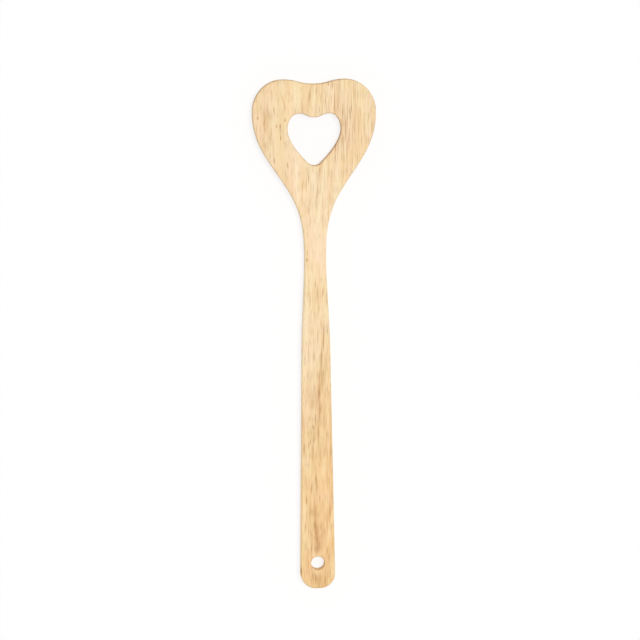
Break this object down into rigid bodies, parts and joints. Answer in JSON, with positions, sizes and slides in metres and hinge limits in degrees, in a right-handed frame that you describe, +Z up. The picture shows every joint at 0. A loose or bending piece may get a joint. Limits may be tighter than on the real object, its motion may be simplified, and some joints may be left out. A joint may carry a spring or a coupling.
{
  "type": "wooden spatula",
  "caption": "Flat wooden cooking spatula with a heart-shaped head, a heart-shaped opening through it, a slim neck and a grip that widens to a rounded end with a hanging hole.",
  "frame": {"origin": "middle of the spatula's bounding box, on the plane of its back face", "axes": "+X across the head to its right, +Y along the length from the grip to the head, +Z up through the thickness, from the back face to the front face"},
  "size_m": [0.072, 0.3, 0.007],
  "materials": {
    "wood": "sanded, lightly oiled"
  },
  "bodies": {
    "root": {"handle_stave": "wood", "crown_stave": "wood", "left_stave": "wood", "right_stave": "wood"}
  },
  "joints": []
}
